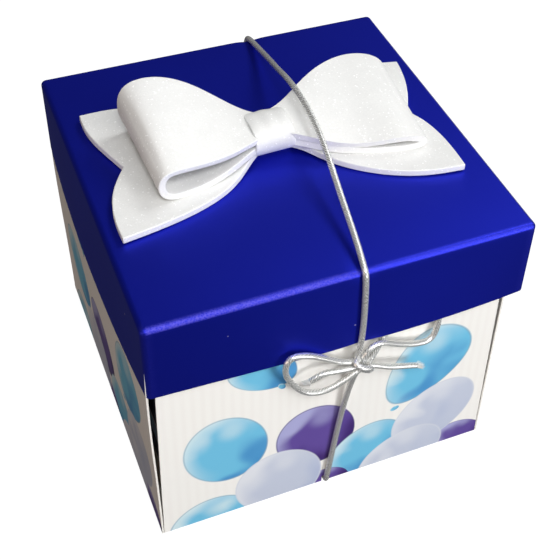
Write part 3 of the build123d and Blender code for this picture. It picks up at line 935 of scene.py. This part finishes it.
# %% Bow loops
def loop_surface(front_edge, back_edge, around=120, across=36):
    """Middle of a bent band between two edge curves of (x, y, height over the lid).

    Across the band the share t goes from the front to the back edge. The crown lifts the upper
    layer by 4 t (1 - t) times a little, less where it is steep.
    """
    front, back = b_spline(front_edge, around), b_spline(back_edge, around)
    t = np.linspace(0.0, 1.0, across)[None, :, None]
    s = np.linspace(0.0, 1.0, around)[:, None, None]
    middle = (1 - t) * front[:, None] + t * back[:, None]
    middle = middle + (0.0, 0.0, lid_top)
    normal = np.cross(np.gradient(middle, axis=0), np.gradient(middle, axis=1))
    normal /= np.linalg.norm(normal, axis=-1, keepdims=True)
    spread = np.clip(np.abs(middle[..., :1] - BOW_X) / 26 - 0.2, 0.0, 1.0)
    crown = 0.8 * 4 * t * (1 - t) * spread * np.abs(normal[..., 2:]) * (s > 0.55)
    return middle + crown * np.array([0.0, 0.0, 1.0])


loops = {
    "bow_loop_left": (
        [(-1.5, -3.4, 5.0), (-7.0, -5.2, 4.9), (-13.0, -8.8, 4.0), (-20.0, -11.6, 3.0), (-27.0, -13.3, 2.9),
         (-33.6, -14.0, 3.0), (-35.4, -13.9, 6.6), (-34.2, -13.6, 10.6), (-29.0, -12.9, 10.3),
         (-21.0, -11.6, 9.3), (-14.5, -9.4, 8.4), (-8.0, -5.6, 7.5), (-1.5, -3.6, 7.4)],
        [(-1.5, 5.0, 5.0), (-7.0, 7.4, 4.9), (-13.0, 12.6, 4.2), (-20.0, 16.0, 3.4), (-28.0, 17.6, 3.0),
         (-35.0, 17.6, 3.6), (-37.0, 17.4, 9.0), (-36.7, 17.2, 15.6), (-33.0, 17.6, 17.8),
         (-26.0, 17.9, 17.3), (-18.0, 16.2, 14.0), (-10.5, 11.0, 9.6), (-5.5, 6.8, 7.8), (-1.5, 5.0, 7.4)]),
    "bow_loop_right": (
        [(-1.5, -3.4, 5.0), (4.0, -4.8, 4.7), (10.0, -8.8, 3.7), (18.0, -12.4, 3.0), (27.0, -14.8, 2.9),
         (34.5, -16.2, 2.9), (37.8, -16.4, 3.8), (36.2, -16.2, 5.4), (31.5, -15.8, 6.3),
         (27.0, -15.0, 6.0), (21.0, -13.2, 4.8), (15.0, -11.4, 5.0), (9.0, -8.4, 6.0), (4.0, -5.4, 6.9),
         (-1.5, -3.6, 7.4)],
        [(-1.5, 5.0, 5.0), (4.0, 7.0, 4.8), (11.0, 12.0, 3.9), (20.0, 16.6, 3.2), (30.0, 18.8, 2.9),
         (37.6, 18.6, 3.0), (40.4, 18.0, 4.6), (38.6, 17.8, 7.6), (35.2, 18.6, 9.6), (29.0, 19.0, 10.8),
         (22.0, 17.2, 11.3), (15.5, 14.0, 11.0), (9.5, 10.2, 9.4), (4.5, 7.0, 8.0), (-1.5, 5.0, 7.4)]),
}
for name, (front_edge, back_edge) in loops.items():
    surface = loop_surface(front_edge, back_edge)
    loop = soften(sheet_piece(name, surface, FOAM, [glitter_foam] * 3), 0.4)
    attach(loop, "lid")
    if name == "bow_loop_left":
        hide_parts("bow_loops")
    print(name, "up to", round(float(surface[..., 2].max() + FOAM / 2 - lid_top), 1), "mm over the lid")

# %% [markdown]
# ## The bow's centre band
#
# A narrow strip of the same foam is wrapped tightly round the pinched middle and glued underneath. It
# follows the foam below it, rounded over the edges, and its loose end laps past the front. The strip's
# line is one curve in the upright plane, and its width runs across the bow with a slight waist.

# %% Centre band
BAND = 11.6
BAND_T = 1.2
WRAP = [   # y and height over the lid, from the loose end at the front foot, over the top, to the back
    (-4.7, 3.7), (-5.2, 4.8), (-5.4, 6.6), (-4.2, 8.8), (-1.2, 9.6), (2.0, 9.6), (5.2, 9.0), (6.8, 6.8),
    (6.6, 4.2), (5.0, 1.9), (2.4, 1.1), (0.0, 1.0), (-2.4, 1.2), (-3.8, 2.6), (-4.1, 4.6)]
line = b_spline(WRAP, 90)
share = np.linspace(-1.0, 1.0, 22)
over = np.exp(-((line[:, 1] - 9.6) / 4.0) ** 2)[:, None]
x = BOW_X + share[None, :] * BAND / 2 * (1 - 0.05 * over)
ripple = 0.10 * np.cos(share * 2.6 * math.pi)[None, :] * over
slant = 0.24 * share[None, :] * (line[:, 0] < 0)[:, None]
sag = 0.5 * share[None, :] ** 2 * over
middle = np.dstack([x, line[:, :1] + slant, lid_top + line[:, 1:] + ripple - sag])
band = soften(sheet_piece("bow_band", middle[:, ::-1], BAND_T, [glitter_foam] * 3), 0.3)
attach(band, "lid")
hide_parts("bow_centre_band")
pad_x, pad_y = np.meshgrid(np.linspace(-9.0, 6.0, 12), np.linspace(-1.6, 3.4, 6), indexing="ij")
PAD_T = 0.3
pad_z = np.full_like(pad_x, lid_top + 0.16)
pad = sheet_piece("bow_tape_pad", np.dstack([pad_x, pad_y, pad_z]), PAD_T, [foam_tape] * 3)
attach(pad, "lid")
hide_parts("bow_glue_pad")
print("band", round(float(middle[..., 2].max() - lid_top), 1), "mm over the lid")

# %% [markdown]
# ## Floor and light
#
# The object stands on a plain pale floor. A big soft light in front and to the right makes the front
# wall bright, rakes the lid and leaves the left side in shade, and a second one behind and to the
# right lies in the lid's mirror direction, so the satin film brightens towards that side. Weaker ones
# fill in low in front, beside the eye, overhead and, a little warmer, on the left.

# %% Floor
floor_paint, tree, shader = new_material("matt_white_floor")
place = add(tree, "TexCoord")[3]
dust = noise(tree, place, 1 / 30.0, 2.0)
tint = mix(tree, dust, linear("#6e6e6e"), linear("#747474"))
tree.links.new(tint, shader.inputs["Base Color"])
shader.inputs["Emission Color"].default_value = linear("#ffffff")
shader.inputs["Emission Strength"].default_value = 0.93
shader.inputs["Roughness"].default_value = 0.9
shader.inputs["Specular IOR Level"].default_value = 0.0
FLOOR = 3000.0
corners = np.array([(-1, -1), (1, -1), (1, 1), (-1, 1)]) * FLOOR
corners = np.column_stack([corners, np.full(4, -0.05)])
floor = make_piece("floor", corners, np.array([[0, 1, 2, 3]]), [floor_paint])
floor.visible_diffuse = False
floor.visible_glossy = False
print("floor", 2 * FLOOR * MM, "m square")


# %% Lights
def soft_light(name, place, target, size, power, colour):
    """A square area light at place, in metres, turned towards target."""
    light = bpy.data.lights.new(name, "AREA")
    light.size = size
    light.energy = power
    light.color = linear(colour)[:3]
    lamp = bpy.data.objects.new(name, light)
    lamp.location = place
    way = np.array(target) - np.array(place)
    tip_over = math.atan2(math.hypot(way[0], way[1]), -way[2])
    lamp.rotation_euler = (tip_over, 0.0, math.atan2(way[0], -way[1]) + math.pi)
    bpy.context.scene.collection.objects.link(lamp)


LIGHTS = [   # name, place and target in metres, size in metres, watts, colour
    ("key", (0.30, -0.86, 0.91), (0.0, 0.0, 0.05), 0.80, 7.4, "#ffffff"),
    ("front_card", (0.46, -0.84, 0.17), (0.0, 0.0, 0.05), 0.30, 4.6, "#ffffff"),
    ("eye_side_fill", (-0.17, -0.61, 0.85), (0.0, 0.0, 0.03), 0.22, 3.2, "#ffffff"),
    ("overhead", (-0.25, -0.30, 1.15), (0.0, 0.0, 0.08), 0.60, 1.8, "#ffffff"),
    ("mirror_side", (0.70, 0.22, 1.05), (0.0, 0.0, 0.08), 0.46, 5.6, "#ffffff"),
    ("left_card", (-1.0, -0.25, 0.14), (0.0, 0.0, 0.03), 0.26, 1.75, "#ffe2cc"),
]
for light in LIGHTS:
    soft_light(*light)
world = bpy.data.worlds.new("studio")
world.use_nodes = True
background = world.node_tree.nodes["Background"]
background.inputs["Color"].default_value = linear("#f2f4f8")
background.inputs["Strength"].default_value = 0.07
bpy.context.scene.world = world
bpy.context.scene.view_settings.view_transform = "Standard"
print("lights:", len(LIGHTS))
